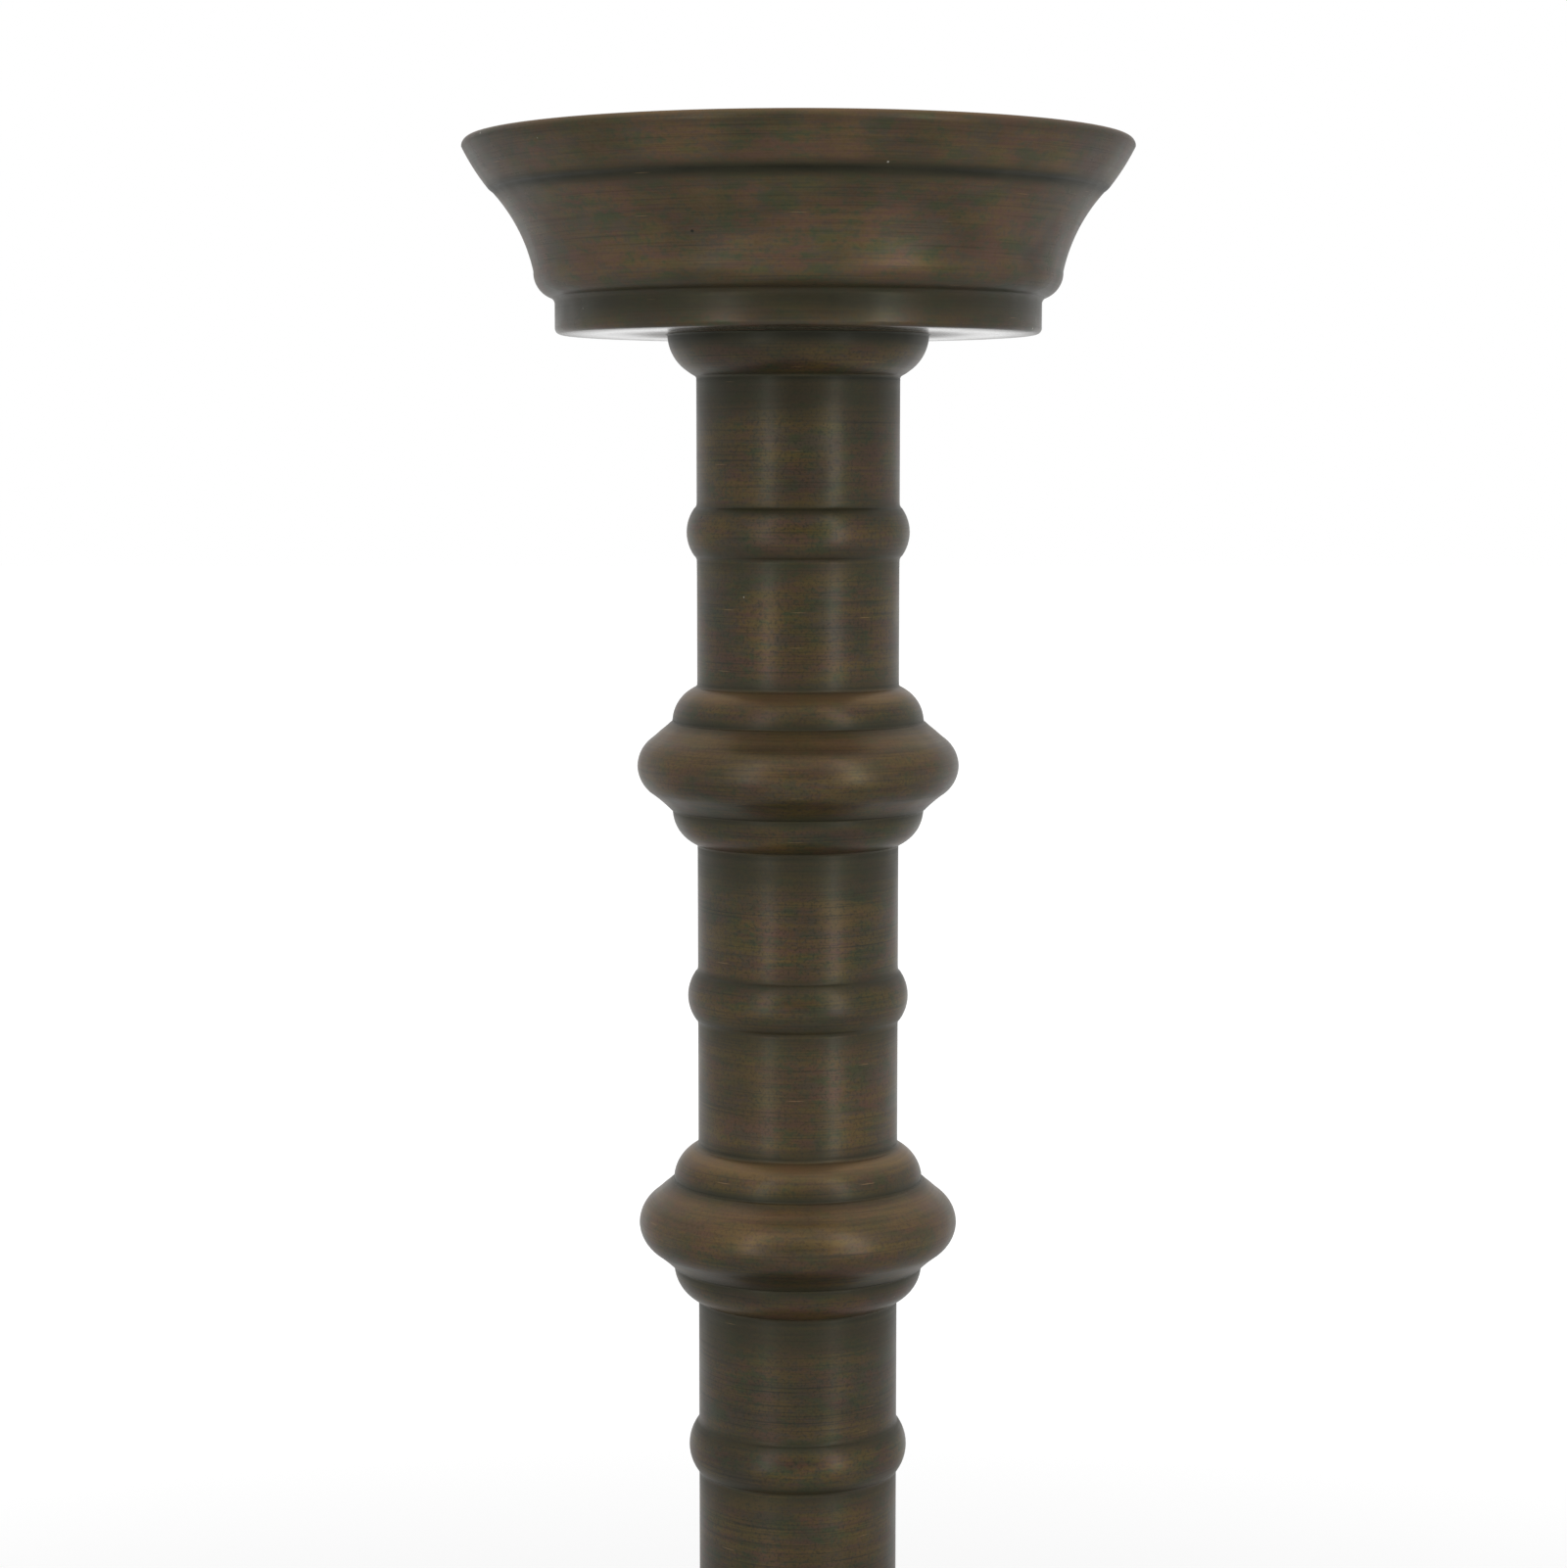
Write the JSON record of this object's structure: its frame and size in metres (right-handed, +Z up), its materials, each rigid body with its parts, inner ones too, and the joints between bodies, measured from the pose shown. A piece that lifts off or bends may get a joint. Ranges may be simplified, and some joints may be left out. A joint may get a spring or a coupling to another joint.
{
  "type": "taper candle holder",
  "caption": "Tall turned metal candle holder: moulded drip pan with a taper socket on a stem of sleeves, beads and knops, over a flared weighted foot.",
  "frame": {"origin": "centre of the felt pad's underside, on the axis of the stem", "axes": "+Z up along the stem's axis; +X and +Y are alike, since every piece but the nut is turned"},
  "size_m": [0.158, 0.158, 0.457],
  "materials": {
    "bronze": "antique bronze, lathe-brushed and waxed, dark in the grooves",
    "pan_bronze": "antique bronze, lathe-brushed, warmer where the lip is worn",
    "steel": "zinc-plated",
    "cement": "cast cement, matt",
    "felt": "dark green felt"
  },
  "bodies": {
    "root": {"taper_socket": "bronze", "drip_pan": "pan_bronze", "pan_collar": "bronze", "stem_sleeve_1": "bronze", "bead_ring_1": "bronze", "knop_upper_collar_1": "bronze", "knop_ring_1": "bronze", "knop_lower_collar_1": "bronze", "stem_sleeve_2": "bronze", "bead_ring_2": "bronze", "knop_upper_collar_2": "bronze", "knop_ring_2": "bronze", "knop_lower_collar_2": "bronze", "stem_sleeve_3": "bronze", "bead_ring_3": "bronze", "knop_upper_collar_3": "bronze", "knop_ring_3": "bronze", "knop_lower_collar_3": "bronze", "stem_sleeve_4": "bronze", "bead_ring_4": "bronze", "foot_collar": "bronze", "foot_neck": "bronze", "foot_shell": "bronze", "foot_filling": "cement", "felt_pad": "felt", "tie_rod": "steel", "rod_washer": "steel", "rod_nut": "steel"}
  },
  "joints": []
}
